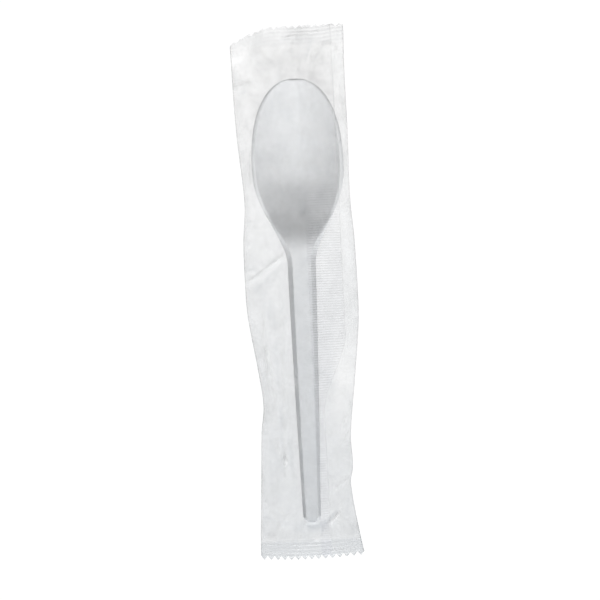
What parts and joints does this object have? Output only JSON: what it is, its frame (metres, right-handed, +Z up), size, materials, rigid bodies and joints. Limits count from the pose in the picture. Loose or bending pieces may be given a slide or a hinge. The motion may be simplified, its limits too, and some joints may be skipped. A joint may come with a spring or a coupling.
{
  "type": "plastic cutlery pack",
  "caption": "Moulded plastic spoon sealed in a clear flow-wrapped film pouch with a ribbed fin seal and zigzag-cut crimped ends.",
  "frame": {"origin": "on the table under the middle of the pouch", "axes": "+Y along the pouch towards the tip of the bowl, +Z up through the front film, +X to the side that the fin is folded to"},
  "size_m": [0.0426, 0.1972, 0.0116],
  "materials": {
    "spoon_plastic": "satin moulded",
    "wrapper_film": "clear film, slightly milky, ribbed at the seals"
  },
  "bodies": {
    "root": {"spoon": "spoon_plastic", "film_wrapper": "wrapper_film"}
  },
  "joints": []
}
